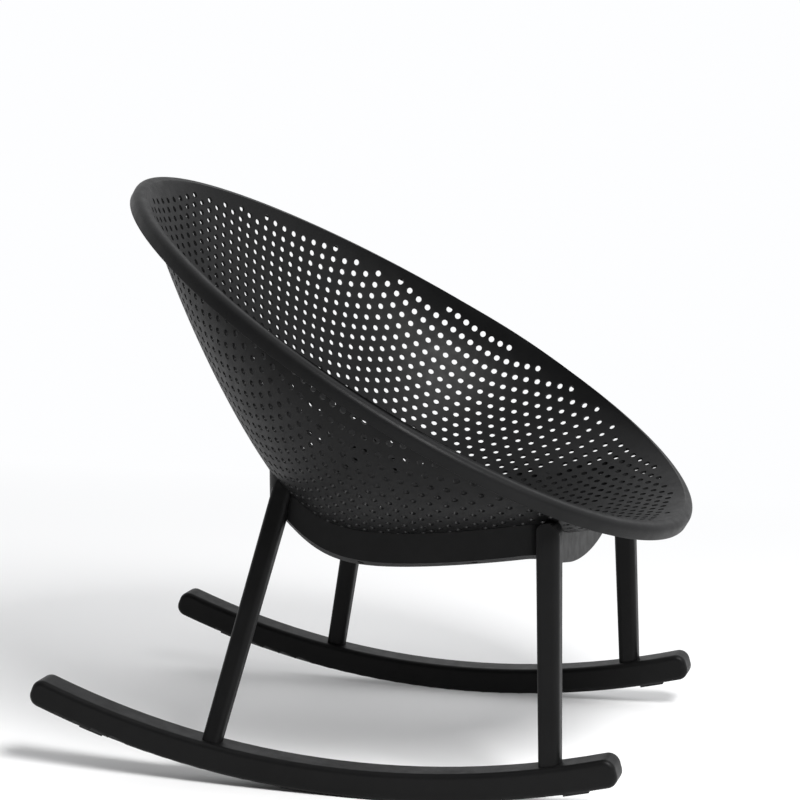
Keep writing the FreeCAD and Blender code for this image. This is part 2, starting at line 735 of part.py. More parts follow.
def rocker(blank):
    """Return the left rocker with its stepped bolt holes and the pockets for the stops."""
    shape = blank
    for end in (1, -1):
        shape = shape.cut(foot_bolt(end, FIT_GAP)).cut(foot_washer(end, FIT_GAP))
    for place_x in (STOP_REAR_X, STOP_FRONT_X):
        shape = shape.cut(stop(place_x, FIT_GAP))
    return shape


def both_sides(shapes):
    """Return a group of solids for the left side and their reflections."""
    return Part.makeCompound(shapes + [mirrored(shape) for shape in shapes])


def main():
    os.makedirs("parts", exist_ok=True)
    block = bowl_block()
    places = screw_places(block)
    export(seat_shell(block, places), "seat_shell")
    for node, shape in rails(block, places).items():
        export(shape, node)
    blank = rocker_blank()
    rocker_shape = rocker(blank)
    export(rocker_shape, "rocker_left")
    export(mirrored(rocker_shape), "rocker_right")
    for name, end in (("front", 1), ("rear", -1)):
        left_leg = leg(block, end)
        export(left_leg, name + "_leg_left")
        export(mirrored(left_leg), name + "_leg_right")
    for name, place_x in (("front", STOP_FRONT_X), ("rear", STOP_REAR_X)):
        pad = stop(place_x, 0)
        export(pad, name + "_stop_left")
        export(mirrored(pad), name + "_stop_right")
    export(Part.makeCompound([shell_screw(place, 0) for place in places]), "shell_screws")
    export(both_sides([rail_screw(block, end, 0) for end in (1, -1)]), "rail_screws")
    export(both_sides([leg_bolt(block, end, 0) for end in (1, -1)]), "leg_bolts")
    export(both_sides([leg_washer(block, end) for end in (1, -1)]), "leg_washers")
    export(both_sides([leg_insert(block, end, 0) for end in (1, -1)]), "leg_inserts")
    export(both_sides([foot_bolt(end, 0) for end in (1, -1)]), "foot_bolts")
    export(both_sides([foot_washer(end, 0) for end in (1, -1)]), "foot_washers")
    export(both_sides([foot_insert(end, 0) for end in (1, -1)]), "foot_inserts")


main()
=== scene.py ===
"""Dressed model of a moulded rocking chair: a perforated bowl on a cradle, four legs and two rockers."""
import logging
import math
from collections.abc import Callable
from dataclasses import dataclass, field
from enum import Enum

import bpy
import numpy as np
from mathutils import Matrix, Vector
from mathutils.geometry import delaunay_2d_cdt


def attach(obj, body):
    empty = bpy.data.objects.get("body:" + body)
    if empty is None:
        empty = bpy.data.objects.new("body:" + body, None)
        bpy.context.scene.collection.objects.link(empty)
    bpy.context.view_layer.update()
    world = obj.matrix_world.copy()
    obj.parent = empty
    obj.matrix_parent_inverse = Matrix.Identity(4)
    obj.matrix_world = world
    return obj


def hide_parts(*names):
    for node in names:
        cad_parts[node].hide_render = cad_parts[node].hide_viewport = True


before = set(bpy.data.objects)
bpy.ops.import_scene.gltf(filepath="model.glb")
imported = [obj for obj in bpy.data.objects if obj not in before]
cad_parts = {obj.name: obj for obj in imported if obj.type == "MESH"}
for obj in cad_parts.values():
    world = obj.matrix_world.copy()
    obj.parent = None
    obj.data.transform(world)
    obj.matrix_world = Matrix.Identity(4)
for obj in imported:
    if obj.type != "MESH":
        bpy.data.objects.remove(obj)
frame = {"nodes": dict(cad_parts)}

LOG = logging.getLogger("rocking_chair")
MILLIMETRE = 0.001
BODY = "root"
BOSS_SIDES = 24

Curve = Callable[[np.ndarray], np.ndarray]
Colour = tuple[float, float, float]
Place = tuple[float, float, float]


class Slot(Enum):
    """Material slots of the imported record."""

    SHELL = "shell_plastic"
    FRAME = "frame_plastic"
    RUBBER = "stop_rubber"
    STEEL = "fastener_steel"
    BRASS = "insert_brass"


# Finishes


def new_material(name: str) -> tuple[bpy.types.Material, bpy.types.NodeTree, bpy.types.Node]:
    """Start a node material.

    Args:
        name: The material's name.

    Returns:
        The material, its node tree and its surface shader.
    """
    material = bpy.data.materials.new(name)
    material.use_nodes = True
    tree = material.node_tree
    return material, tree, tree.nodes["Principled BSDF"]


def object_point(tree: bpy.types.NodeTree) -> bpy.types.NodeSocket:
    """Return the socket that gives the point in the piece's own space."""
    return tree.nodes.new("ShaderNodeTexCoord").outputs["Object"]


def noise(tree: bpy.types.NodeTree, scale: float, detail: float) -> bpy.types.NodeSocket:
    """Add a noise texture.

    Args:
        tree: The material's node tree.
        scale: Waves in a metre.
        detail: Number of finer layers.

    Returns:
        The socket with the noise's value.
    """
    node = tree.nodes.new("ShaderNodeTexNoise")
    node.inputs["Scale"].default_value = scale
    node.inputs["Detail"].default_value = detail
    tree.links.new(object_point(tree), node.inputs["Vector"])
    return node.outputs["Fac"]


def remap(
    tree: bpy.types.NodeTree, value: bpy.types.NodeSocket, source: tuple[float, float], target: tuple[float, float]
) -> bpy.types.NodeSocket:
    """Map one range of a value to another, held at both ends.

    Args:
        tree: The material's node tree.
        value: The socket that is mapped.
        source: Lowest and highest value that come in.
        target: What these two become.

    Returns:
        The socket with the mapped value.
    """
    node = tree.nodes.new("ShaderNodeMapRange")
    node.inputs["From Min"].default_value, node.inputs["From Max"].default_value = source
    node.inputs["To Min"].default_value, node.inputs["To Max"].default_value = target
    tree.links.new(value, node.inputs["Value"])
    return node.outputs["Result"]


def blend(tree: bpy.types.NodeTree, share: bpy.types.NodeSocket, low: Colour, high: Colour) -> bpy.types.NodeSocket:
    """Mix two colours by a share between 0 and 1.

    Args:
        tree: The material's node tree.
        share: The socket with the share of the second colour.
        low: The first colour.
        high: The second colour.

    Returns:
        The socket with the mixed colour.
    """
    node = tree.nodes.new("ShaderNodeMix")
    node.data_type = "RGBA"
    node.inputs["A"].default_value = (*low, 1)
    node.inputs["B"].default_value = (*high, 1)
    tree.links.new(share, node.inputs["Factor"])
    return node.outputs["Result"]


def bump(
    tree: bpy.types.NodeTree, height: bpy.types.NodeSocket, depth: float, under: bpy.types.NodeSocket | None = None
) -> bpy.types.NodeSocket:
    """Turn a height into a surface relief.

    Args:
        tree: The material's node tree.
        height: The socket with the height, 0 to 1.
        depth: The relief's depth in metres.
        under: The relief that this one lies on.

    Returns:
        The socket with the relief's normal.
    """
    node = tree.nodes.new("ShaderNodeBump")
    node.inputs["Distance"].default_value = depth
    tree.links.new(height, node.inputs["Height"])
    if under is not None:
        tree.links.new(under, node.inputs["Normal"])
    return node.outputs["Normal"]


@dataclass(frozen=True)
class MouldedPlastic:
    """Satin plastic with the fine spark-eroded grain of its mould and faint handling marks."""

    name: str
    colour: Colour
    rubbed: Colour
    grain_scale: float
    grain_depth: float
    roughness: float = 0.46
    gloss: float = 0.13
    cloud_scale: float = 9
    mark_scale: float = 60
    sink_scale: float = 22
    sink_depth: float = 0.00012

    def material(self) -> bpy.types.Material:
        """Return the plastic's node material."""
        material, tree, shader = new_material(self.name)
        cloud = remap(tree, noise(tree, self.cloud_scale, 3), (0.3, 0.7), (0, 1))
        tree.links.new(blend(tree, cloud, self.colour, self.rubbed), shader.inputs["Base Color"])
        marks = noise(tree, self.mark_scale, 5)
        rough = remap(tree, marks, (0.3, 0.75), (self.roughness - 0.05, self.roughness + 0.06))
        tree.links.new(rough, shader.inputs["Roughness"])
        sink = bump(tree, noise(tree, self.sink_scale, 1), self.sink_depth)
        relief = bump(tree, noise(tree, self.grain_scale, 2), self.grain_depth, sink)
        tree.links.new(relief, shader.inputs["Normal"])
        shader.inputs["Specular IOR Level"].default_value = self.gloss
        return material


@dataclass(frozen=True)
class StopRubber:
    """Dull black rubber with dust in its pores."""

    name: str = "stop rubber"
    colour: Colour = (0.016, 0.016, 0.017)
    dust: Colour = (0.05, 0.048, 0.045)
    pore_scale: float = 700
    pore_depth: float = 0.0001
    wear_scale: float = 90

    def material(self) -> bpy.types.Material:
        """Return the rubber's node material."""
        material, tree, shader = new_material(self.name)
        pores = noise(tree, self.pore_scale, 4)
        dusty = remap(tree, pores, (0.5, 0.8), (0, 0.6))
        tree.links.new(blend(tree, dusty, self.colour, self.dust), shader.inputs["Base Color"])
        rough = remap(tree, noise(tree, self.wear_scale, 3), (0.3, 0.7), (0.78, 0.92))
        tree.links.new(rough, shader.inputs["Roughness"])
        tree.links.new(bump(tree, pores, self.pore_depth), shader.inputs["Normal"])
        return material


@dataclass(frozen=True)
class PlatedMetal:
    """Plated or plain metal with fine turning marks and a slightly uneven gloss."""

    name: str
    bright: Colour
    dull: Colour
    roughness: float
    cloud_scale: float = 160
    gloss_scale: float = 420
    turning_scale: float = 2600
    turning_depth: float = 0.00002

    def material(self) -> bpy.types.Material:
        """Return the metal's node material."""
        material, tree, shader = new_material(self.name)
        shader.inputs["Metallic"].default_value = 1.0
        cloud = remap(tree, noise(tree, self.cloud_scale, 4), (0.35, 0.7), (0, 1))
        tree.links.new(blend(tree, cloud, self.bright, self.dull), shader.inputs["Base Color"])
        gloss = noise(tree, self.gloss_scale, 3)
        rough = remap(tree, gloss, (0.3, 0.7), (self.roughness - 0.06, self.roughness + 0.1))
        tree.links.new(rough, shader.inputs["Roughness"])
        turning = bump(tree, noise(tree, self.turning_scale, 2), self.turning_depth)
        tree.links.new(turning, shader.inputs["Normal"])
        return material


@dataclass(frozen=True)
class Finishes:
    """The chair's finishes, made once."""

    shell: bpy.types.Material
    frame: bpy.types.Material
    rubber: bpy.types.Material
    steel: bpy.types.Material
    brass: bpy.types.Material

    @classmethod
    def made(cls) -> "Finishes":
        """Make every finish."""
        return cls(
            shell=MouldedPlastic(
                "black shell plastic", (0.0052, 0.0053, 0.0055), (0.0075, 0.0075, 0.0078), 1500, 0.00011
            ).material(),
            frame=MouldedPlastic(
                "black frame plastic", (0.0042, 0.0042, 0.0043), (0.006, 0.006, 0.0062), 1100, 0.00009
            ).material(),
            rubber=StopRubber().material(),
            steel=PlatedMetal("zinc plated steel", (0.62, 0.63, 0.65), (0.44, 0.45, 0.47), 0.32).material(),
            brass=PlatedMetal("plain brass", (0.72, 0.52, 0.24), (0.55, 0.38, 0.16), 0.34).material(),
        )

    def of_slot(self, slot: Slot) -> bpy.types.Material:
        """Return the material that fills a slot of the record."""
        return {
            Slot.SHELL: self.shell,
            Slot.FRAME: self.frame,
            Slot.RUBBER: self.rubber,
            Slot.STEEL: self.steel,
            Slot.BRASS: self.brass,
        }[slot]


# Geometry node trees


class NodePattern:
    """A geometry node tree that puts one small form on every point of a carrier mesh."""

    def __init__(self, name: str, material: bpy.types.Material) -> None:
        """Start the tree.

        Args:
            name: The tree's name.
            material: What the result is covered with.
        """
        self.tree = bpy.data.node_groups.new(name, "GeometryNodeTree")
        self.material = material
        self.tree.interface.new_socket("Carrier", in_out="INPUT", socket_type="NodeSocketGeometry")
        self.tree.interface.new_socket("Result", in_out="OUTPUT", socket_type="NodeSocketGeometry")
        self.inputs = self.tree.nodes.new("NodeGroupInput")
        self.outputs = self.tree.nodes.new("NodeGroupOutput")

    def size(self, name: str, kind: str = "NodeSocketFloat") -> bpy.types.NodeSocket:
        """Add a named input and return its socket inside the tree."""
        self.tree.interface.new_socket(name, in_out="INPUT", socket_type=kind)
        return self.inputs.outputs[name]

    def add(self, kind: str) -> bpy.types.Node:
        """Add a node of a kind."""
        return self.tree.nodes.new(kind)

    def link(self, source: bpy.types.NodeSocket, target: bpy.types.NodeSocket) -> None:
        """Join two sockets."""
        self.tree.links.new(source, target)

    def close(self, form: bpy.types.NodeSocket) -> None:
        """Put the form on the carrier's points, along their normals, as real and covered mesh.

        Args:
            form: The socket with the small form, its own axis along Z.
        """
        axis = self.add("GeometryNodeInputNamedAttribute")
        axis.data_type = "FLOAT_VECTOR"
        axis.inputs["Name"].default_value = "axis"
        turn = self.add("FunctionNodeAlignRotationToVector")
        turn.axis = "Z"
        self.link(axis.outputs["Attribute"], turn.inputs["Vector"])
        place = self.add("GeometryNodeInstanceOnPoints")
        self.link(self.inputs.outputs["Carrier"], place.inputs["Points"])
        self.link(form, place.inputs["Instance"])
        self.link(turn.outputs["Rotation"], place.inputs["Rotation"])
        real = self.add("GeometryNodeRealizeInstances")
        cover = self.add("GeometryNodeSetMaterial")
        cover.inputs["Material"].default_value = self.material
        self.link(place.outputs["Instances"], real.inputs["Geometry"])
        self.link(real.outputs["Geometry"], cover.inputs["Geometry"])
        self.link(cover.outputs["Geometry"], self.outputs.inputs["Result"])

    def made(self, points: np.ndarray, axes: np.ndarray, sizes: dict[str, float]) -> bpy.types.Mesh:
        """Run the tree over a set of points.

        Args:
            points: The places, in metres.
            axes: The direction of the form's axis at each place.
            sizes: Values of the tree's named inputs.

        Returns:
            The result as a plain mesh.
        """
        carrier = bpy.data.meshes.new(self.tree.name + " carrier")
        carrier.from_pydata(points.tolist(), [], [])
        axis = carrier.attributes.new("axis", "FLOAT_VECTOR", "POINT")
        axis.data.foreach_set("vector", axes.astype(np.float32).ravel())
        holder = bpy.data.objects.new(self.tree.name + " holder", carrier)
        bpy.context.scene.collection.objects.link(holder)
        modifier = holder.modifiers.new("pattern", "NODES")
        modifier.node_group = self.tree
        for item in self.tree.interface.items_tree:
            if item.item_type == "SOCKET" and item.in_out == "INPUT" and item.name in sizes:
                modifier[item.identifier] = sizes[item.name]
        holder.update_tag()
        graph = bpy.context.evaluated_depsgraph_get()
        result = bpy.data.meshes.new_from_object(holder.evaluated_get(graph))
        holder.modifiers.remove(modifier)
        bpy.data.objects.remove(holder)
        return result


def hole_liners(material: bpy.types.Material) -> NodePattern:
    """Return the tree of the short open tubes that line the bowl's round holes."""
    pattern = NodePattern("perforation liners", material)
    diameter = pattern.size("Hole Diameter")
    depth = pattern.size("Wall Thickness")
    sides = pattern.size("Sides", "NodeSocketInt")
    half = pattern.add("ShaderNodeMath")
    half.operation = "MULTIPLY"
    half.inputs[1].default_value = 0.5
    pattern.link(diameter, half.inputs[0])
    tube = pattern.add("GeometryNodeMeshCylinder")
    tube.fill_type = "NONE"
    pattern.link(sides, tube.inputs["Vertices"])
    pattern.link(half.outputs[0], tube.inputs["Radius"])
    pattern.link(depth, tube.inputs["Depth"])
    pattern.close(tube.outputs["Mesh"])
    return pattern


def screw_bosses(material: bpy.types.Material) -> NodePattern:
    """Return the tree of the solid round bosses that the screws bite into."""
    pattern = NodePattern("screw bosses", material)
    radius = pattern.size("Boss Radius")
    depth = pattern.size("Boss Depth")
    boss = pattern.add("GeometryNodeMeshCylinder")
    boss.inputs["Vertices"].default_value = BOSS_SIDES
    pattern.link(radius, boss.inputs["Radius"])
    pattern.link(depth, boss.inputs["Depth"])
    pattern.close(boss.outputs["Mesh"])
    return pattern


# Mesh helpers


def mesh_points(mesh: bpy.types.Mesh) -> np.ndarray:
    """Return a mesh's vertices as an array of points."""
    flat = np.zeros(len(mesh.vertices) * 3, np.float32)
    mesh.vertices.foreach_get("co", flat)
    return flat.reshape(-1, 3).astype(float)


def add_piece(
    name: str, points: np.ndarray, faces: list[tuple[int, ...]], material: bpy.types.Material, sharp: float
) -> bpy.types.Object:
    """Make a piece from points and faces.

    Args:
        name: The piece's name.
        points: Its vertices in metres.
        faces: Its faces, outward.
        material: Its finish.
        sharp: Angle in degrees past which an edge stays sharp.

    Returns:
        The new object at the origin.
    """
    mesh = bpy.data.meshes.new(name)
    mesh.from_pydata(points.tolist(), [], faces)
    mesh.update()
    mesh.shade_smooth()
    mesh.set_sharp_from_angle(angle=math.radians(sharp))
    mesh.materials.append(material)
    piece = bpy.data.objects.new(name, mesh)
    bpy.context.scene.collection.objects.link(piece)
    return piece


def dress_node(node: str, material: bpy.types.Material) -> None:
    """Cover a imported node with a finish.

    Args:
        node: The node's name.
        material: Its finish.
    """
    piece = frame["nodes"][node]
    piece.data.materials.clear()
    piece.data.materials.append(material)
    LOG.info("%s dressed in %s", node, material.name)


def unit(vectors: np.ndarray) -> np.ndarray:
    """Return vectors scaled to length one."""
    return vectors / np.linalg.norm(vectors, axis=-1, keepdims=True)


# The bowl


@dataclass(frozen=True)
class BowlSkin:
    """The bowl's surface by level (0 floor, 1 rim) and angle (0 front), in millimetres."""

    rim_centre_x: float = 40.0
    rim_centre_z: float = 563.0
    rim_half_length: float = 434.0
    rim_half_width: float = 370.0
    rim_tilt: float = 30.3
    egg_widening: float = 0.10
    wall: float = 4.0
    floor_x: float = -34.0
    floor_z: float = 287.0
    back_floor_run: float = 88.0
    back_rim_run: float = 157.0
    back_rim_lean: float = 69.0
    front_floor_run: float = 55.0
    front_rim_run: float = 120.0
    front_rim_lean: float = 9.0
    side_floor_reach: float = 190.0
    side_rim_reach: float = 390.0
    level_step: float = 0.001
    least_level: float = 0.01
    trace_samples: int = 25

    @staticmethod
    def cubic(start: np.ndarray, lead: np.ndarray, trail: np.ndarray, end: np.ndarray, level: np.ndarray) -> np.ndarray:
        """Return points of a cubic curve at an array of levels."""
        level = np.asarray(level, float)[..., None]
        rest = 1 - level
        return start * rest**3 + lead * 3 * rest**2 * level + trail * 3 * rest * level**2 + end * level**3

    @property
    def rim_axes(self) -> tuple[np.ndarray, np.ndarray]:
        """The direction along the rim's plane to the front, and the plane's upward normal."""
        tilt = math.radians(self.rim_tilt)
        return np.array([math.cos(tilt), 0, -math.sin(tilt)]), np.array([math.sin(tilt), 0, math.cos(tilt)])

    @property
    def rim_centre(self) -> np.ndarray:
        """The middle of the rim's oval."""
        return np.array([self.rim_centre_x, 0, self.rim_centre_z])

    def back_curve(self, level: np.ndarray) -> np.ndarray:
        """Return points of the profile behind the floor."""
        lean = math.radians(self.back_rim_lean)
        floor = np.array([self.floor_x, 0, self.floor_z])
        rim = self.rim_centre - self.rim_axes[0] * self.rim_half_length
        lead = floor - np.array([self.back_floor_run, 0, 0])
        trail = rim - np.array([-math.cos(lean), 0, math.sin(lean)]) * self.back_rim_run
        return self.cubic(floor, lead, trail, rim, level)

    def front_curve(self, level: np.ndarray) -> np.ndarray:
        """Return points of the profile in front of the floor."""
        lean = math.radians(self.front_rim_lean)
        floor = np.array([self.floor_x, 0, self.floor_z])
        rim = self.rim_centre + self.rim_axes[0] * self.rim_half_length
        lead = floor + np.array([self.front_floor_run, 0, 0])
        trail = rim - np.array([math.cos(lean), 0, math.sin(lean)]) * self.front_rim_run
        return self.cubic(floor, lead, trail, rim, level)

    def guide(self, curve: Curve, level: np.ndarray, inset: float) -> np.ndarray:
        """Return points of a profile moved into the bowl by a distance."""
        along = unit(curve(level + self.level_step) - curve(level - self.level_step))
        inward = np.stack([-along[..., 2], np.zeros_like(along[..., 0]), along[..., 0]], -1)
        inward *= np.where(inward[..., 2:] < 0, -1.0, 1.0)
        return curve(level) + inward * inset

    def outer_half_width(self, level: np.ndarray) -> np.ndarray:
        """Return half the bowl's outer width at each level."""
        reaches = (0.0, self.side_floor_reach, self.side_rim_reach, self.rim_half_width)
        return self.cubic(*(np.array([reach]) for reach in reaches), level)[..., 0]

    def half_width(self, level: np.ndarray, inset: float) -> np.ndarray:
        """Return half the bowl's width at each level, less a wall measured square to the side."""
        high, low = level + self.level_step, level - self.level_step
        spread = self.outer_half_width(high) - self.outer_half_width(low)
        drift = (self.back_curve(high) + self.front_curve(high) - self.back_curve(low) - self.front_curve(low)) / 2
        open_level = np.maximum(level, self.least_level)
        long_axis = unit(self.front_curve(open_level) - self.back_curve(open_level))
        rise = np.linalg.norm(drift - long_axis * (drift * long_axis).sum(-1, keepdims=True), axis=-1)
        return self.outer_half_width(level) - inset * rise / np.hypot(rise, spread)

    def point(self, level: np.ndarray, angle: np.ndarray, inset: float) -> np.ndarray:
        """Return surface points.

        Args:
            level: Levels between 0 and 1.
            angle: Angles round the bowl in radians.
            inset: Distance into the bowl from the outer skin.

        Returns:
            The points in millimetres.
        """
        level, angle = np.broadcast_arrays(np.asarray(level, float), np.asarray(angle, float))
        back = self.guide(self.back_curve, level, inset)
        front = self.guide(self.front_curve, level, inset)
        points = (back + front) / 2 + (front - back) / 2 * np.cos(angle)[..., None]
        widening = 1 + self.egg_widening * level * np.cos(angle)
        points[..., 1] += self.half_width(level, inset) * np.sin(angle) * widening
        return points

    def to_rim(self, level: np.ndarray, angle: np.ndarray) -> np.ndarray:
        """Return how far below the rim places lie, measured up the wall."""
        share = np.linspace(0, 1, self.trace_samples)
        trace = self.point(level[:, None] + (1 - level)[:, None] * share, angle[:, None], self.wall / 2)
        return np.linalg.norm(np.diff(trace, axis=1), axis=2).sum(1)

    def rise(self, points: np.ndarray) -> np.ndarray:
        """Return heights above the rim's plane."""
        return (points - self.rim_centre) @ self.rim_axes[1]

    def run(self, points: np.ndarray) -> np.ndarray:
        """Return distances along the rim's plane from its middle to the front."""
        return (points - self.rim_centre) @ self.rim_axes[0]


class FlatMap:
    """A flat round map of the bowl's wall, about true to length from the floor outwards."""

    top_level = 1.05
    level_count = 400
    slope_step = 0.5
    search_passes = 12
    longest_move = 20.0
    tiny_move = 1e-9

    def __init__(self, skin: BowlSkin) -> None:
        """Measure the wall from the floor to the rim.

        Args:
            skin: The bowl's surface.
        """
        self.skin = skin
        self.levels = np.linspace(0, self.top_level, self.level_count)
        lengths = []
        for angle in (0.0, math.pi / 2, math.pi):
            line = skin.point(self.levels, np.array(angle), skin.wall / 2)
            steps = np.linalg.norm(np.diff(line, axis=0), axis=1)
            lengths.append(np.concatenate([[0], np.cumsum(steps)]))
        self.lengths = np.mean(lengths, axis=0)

    def flat(self, level: np.ndarray, angle: np.ndarray) -> np.ndarray:
        """Return map points of levels and angles."""
        reach = np.interp(level, self.levels, self.lengths)
        return np.stack([reach * np.cos(angle), reach * np.sin(angle)], -1)

    def wall_point(self, flat: np.ndarray, inset: float) -> np.ndarray:
        """Return wall points of map points."""
        reach = np.hypot(flat[..., 0], flat[..., 1])
        level = np.interp(reach, self.lengths, self.levels)
        return self.skin.point(level, np.arctan2(flat[..., 1], flat[..., 0]), inset)

    def slopes(self, flat: np.ndarray, inset: float) -> tuple[np.ndarray, np.ndarray]:
        """Return how a wall point moves along the map's two axes."""
        step = self.slope_step
        ahead, left = np.array([step, 0]), np.array([0, step])
        along = (self.wall_point(flat + ahead, inset) - self.wall_point(flat - ahead, inset)) / (2 * step)
        across = (self.wall_point(flat + left, inset) - self.wall_point(flat - left, inset)) / (2 * step)
        return along, across

    def located(self, points: np.ndarray, start: np.ndarray, inset: float, plan_only: bool = False) -> np.ndarray:
        """Find the map points under given points of space.

        Args:
            points: Points on or by the wall.
            start: First guesses on the map.
            inset: Depth of the layer that is searched.
            plan_only: Whether heights are left out.

        Returns:
            The map points.
        """
        flat = start.copy()
        keep = np.array([1.0, 1.0, 0.0 if plan_only else 1.0])
        for _ in range(self.search_passes):
            miss = (points - self.wall_point(flat, inset)) * keep
            along, across = (slope * keep for slope in self.slopes(flat, inset))
            aa, ab, bb = (along**2).sum(-1), (along * across).sum(-1), (across**2).sum(-1)
            ma, mb = (along * miss).sum(-1), (across * miss).sum(-1)
            span = aa * bb - ab**2
            move = np.stack([(bb * ma - ab * mb) / span, (aa * mb - ab * ma) / span], -1)
            length = np.linalg.norm(move, axis=-1, keepdims=True)
            flat += move * np.minimum(1, self.longest_move / np.maximum(length, self.tiny_move))
        return flat


@dataclass(frozen=True)
class HoleRows:
    """Rows and columns of the round holes, staggered by half a pitch, in millimetres."""

    column_middle: float = 52.6
    column_pitch: float = 21.37
    column_narrowing: float = 2.79e-5
    row_pitch: float = 26.85
    row_narrowing: float = 7.28e-5
    row_lean: float = 1.13e-7
    row_widening: float = 5.77e-5
    row_turn: float = 5.17e-5
    row_settled_run: float = 280.0
    least_gap: float = 14.5
    rim_band: float = 21.5
    half_columns: int = 30
    half_rows: int = 18
    settling_passes: int = 40
    profile_samples: int = 1200
    wall_samples: int = 260

    def grid(self) -> tuple[np.ndarray, np.ndarray]:
        """Return the column and row numbers of the left half, whole or half numbers in step."""
        columns, rows = [], []
        for twice_row in range(2 * self.half_rows + 1):
            for column in range(-self.half_columns, self.half_columns + 1):
                columns.append(column + 0.5 * (twice_row % 2))
                rows.append(twice_row / 2)
        return np.array(columns), np.array(rows)

    def spread(self, columns: np.ndarray, rows: np.ndarray) -> tuple[np.ndarray, np.ndarray]:
        """Return how far forward along the rim, and how far round the wall, each hole lies.

        Args:
            columns: Column numbers, to the front.
            rows: Row numbers, from the middle to the left.

        Returns:
            Runs along the rim's plane and lengths round the wall.
        """
        run = self.column_middle + self.column_pitch * columns
        for _ in range(self.settling_passes):
            near = np.minimum(run, self.row_settled_run)
            pitch = self.row_pitch - self.row_narrowing * near**2 - self.row_lean * near**3
            pitch += self.row_widening * rows**4 + self.row_turn * near * rows**2
            length = rows * pitch
            target = self.column_middle + columns * (self.column_pitch - self.column_narrowing * length**2)
            run = (run + target) / 2
        return run, length

    def places(self, skin: BowlSkin) -> tuple[np.ndarray, np.ndarray]:
        """Find the holes of the left half on the bowl.

        Args:
            skin: The bowl's surface.

        Returns:
            Levels and angles, with some past the top level.
        """
        columns, rows = self.grid()
        run, length = self.spread(columns, rows)
        levels = np.linspace(0, 1, self.profile_samples)
        middle = skin.wall / 2
        front = skin.run(skin.point(levels, np.zeros_like(levels), middle))
        back = skin.run(skin.point(levels, np.full_like(levels, math.pi), middle))
        first = np.where(run > front[0], np.interp(run, front, levels), np.interp(-run, -back, levels))
        share = np.linspace(0, 1, self.wall_samples) ** 2
        level = first[:, None] + (1 - first)[:, None] * share
        ahead, behind = np.interp(level, levels, front), np.interp(level, levels, back)
        centre, half = (ahead + behind) / 2, (ahead - behind) / 2
        angle = np.arccos(np.clip((run[:, None] - centre) / np.maximum(half, 1e-6), -1, 1))
        trace = skin.point(level, angle, middle)
        steps = np.linalg.norm(np.diff(trace, axis=1), axis=2)
        lengths = np.concatenate([np.abs(trace[:, :1, 1]), np.cumsum(steps, axis=1)], 1)
        found_level, found_angle = [], []
        for index in range(len(run)):
            if run[index] >= front[-1] or run[index] <= back[-1] or length[index] >= lengths[index, -1]:
                continue
            found_level.append(np.interp(length[index], lengths[index], level[index]))
            found_angle.append(np.interp(length[index], lengths[index], angle[index]))
        return np.array(found_level), np.array(found_angle)


